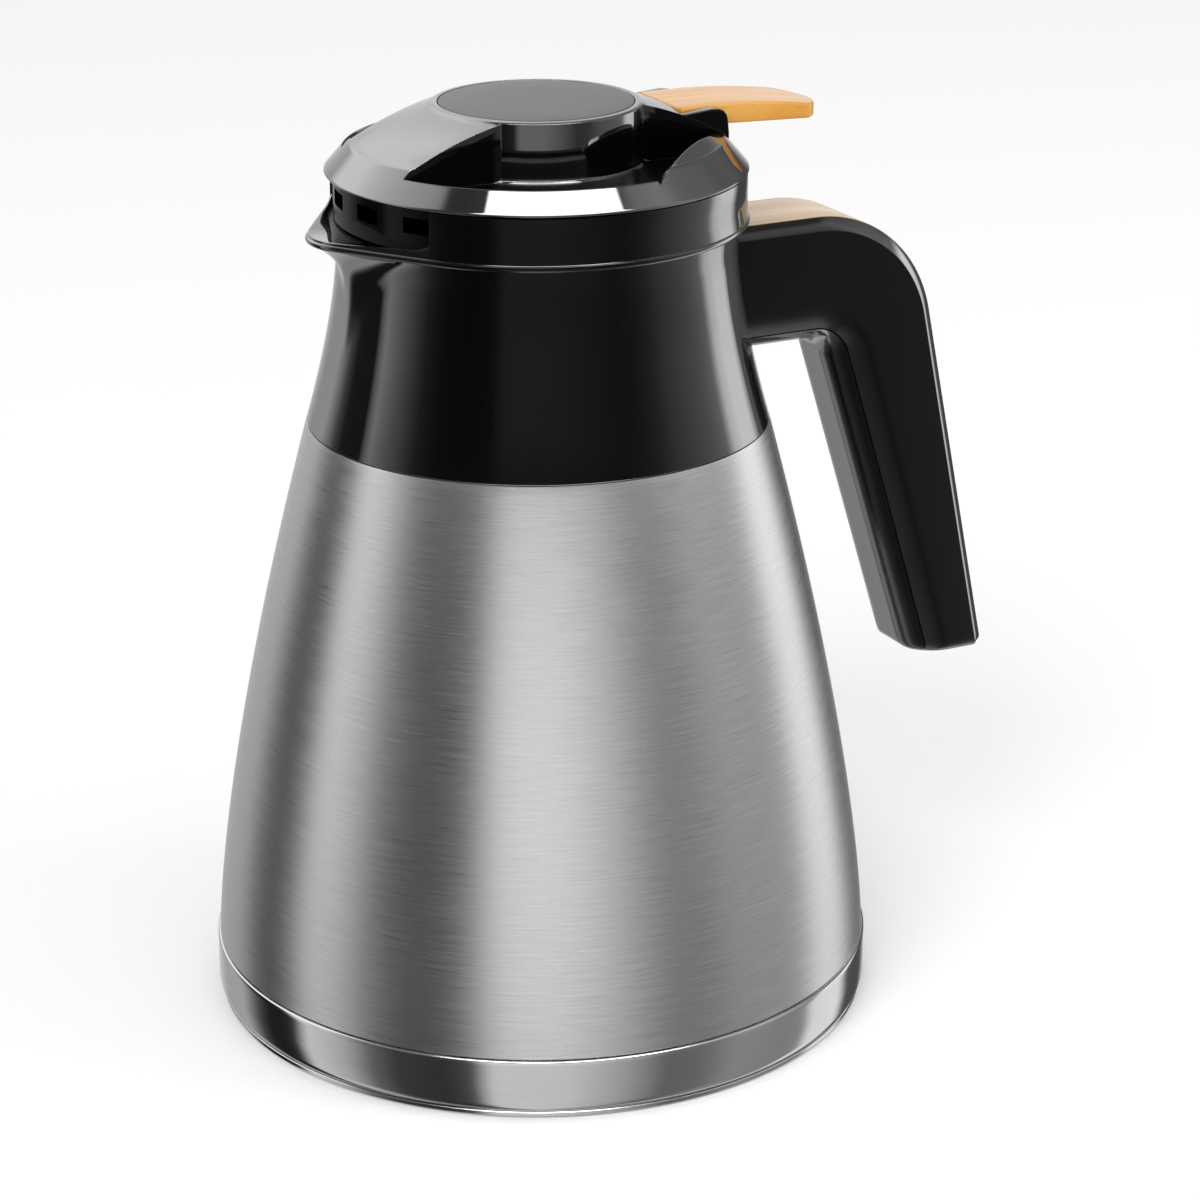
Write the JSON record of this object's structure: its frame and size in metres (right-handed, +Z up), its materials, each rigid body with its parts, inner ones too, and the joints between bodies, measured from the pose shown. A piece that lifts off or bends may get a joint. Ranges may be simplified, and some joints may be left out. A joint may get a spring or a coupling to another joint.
{
  "type": "thermal carafe",
  "caption": "Tapered double-walled steel thermal carafe with black collar, beak spout, open-ended handle and a twist-off stopper lid whose thumb lever lifts a sprung pour valve.",
  "frame": {"origin": "centre of the foot, on the table, on the axis of the round body", "axes": "+X from the axis towards the handle and the thumb lever, -X towards the spout, +Z up, +Y completes the right-handed frame"},
  "size_m": [0.1996, 0.16, 0.2193],
  "materials": {
    "steel_body": "fine horizontal brushing, satin, soft vertical reflections",
    "steel_base": "polished smoother than the body, crisp reflections",
    "steel_inner": "plain drawn steel, semi bright",
    "steel_small": "bright zinc-plated or stainless small part",
    "getter_grey": "dull grey getter pad",
    "braze": "dull braze",
    "gloss_black": "moulded gloss black, sharp reflections",
    "inner_black": "moulded satin black",
    "silicone": "translucent white silicone, matt",
    "foot_grey": "grey silicone, matt",
    "pale_wood": "pale honey wood grain along the strip, satin",
    "amber_wood": "honey to amber wood grain along the lever, satin lacquer",
    "satin_disc": "satin dark grey metal, bare"
  },
  "bodies": {
    "carafe": {"outer_shell": "steel_body", "inner_flask": "steel_inner", "vacuum_plate": "steel_inner", "getter_disc": "getter_grey", "vacuum_seal": "braze", "base_cup": "steel_base", "foot_ring": "foot_grey", "collar": "gloss_black", "neck_gasket": "silicone", "neck_ring": "inner_black", "handle_shell": "gloss_black", "handle_cover": "gloss_black", "handle_inlay": "pale_wood", "handle_screws": "steel_small"},
    "lid": {"lid_shell": "gloss_black", "lid_disc": "satin_disc", "stopper_body": "inner_black", "stopper_cap": "inner_black", "stopper_gasket": "silicone", "stem_seal": "silicone", "lid_screws": "steel_small", "lever_pin": "steel_small", "valve_spring": "steel_small"},
    "lever": {"thumb_lever": "amber_wood", "lever_arm": "inner_black"},
    "valve": {"valve_stem": "steel_small", "stem_nut": "steel_small", "valve_plug": "inner_black", "valve_washer": "silicone"}
  },
  "joints": [
    {"name": "lid_turn", "type": "hinge", "parent": "carafe", "child": "lid", "pos_m": [0, 0, 0.19], "axis": [0, 0, 1], "range_deg": [0, 60]},
    {"name": "lever_press", "type": "hinge", "parent": "lid", "child": "lever", "pos_m": [0.0345, 0, 0.2124], "axis": [0, 1, 0], "range_deg": [0, 8.3]},
    {"name": "valve_lift", "type": "slide", "parent": "lid", "child": "valve", "axis": [0, 0, 1], "range_m": [0, 0.0048], "stiffness_N_per_m": 600, "springref_m": -0.006, "deforming": ["valve_spring"]}
  ],
  "couplings": [
    {"joint": "lever_press", "follows": "valve_lift", "rad_per_m": 28.985}
  ]
}
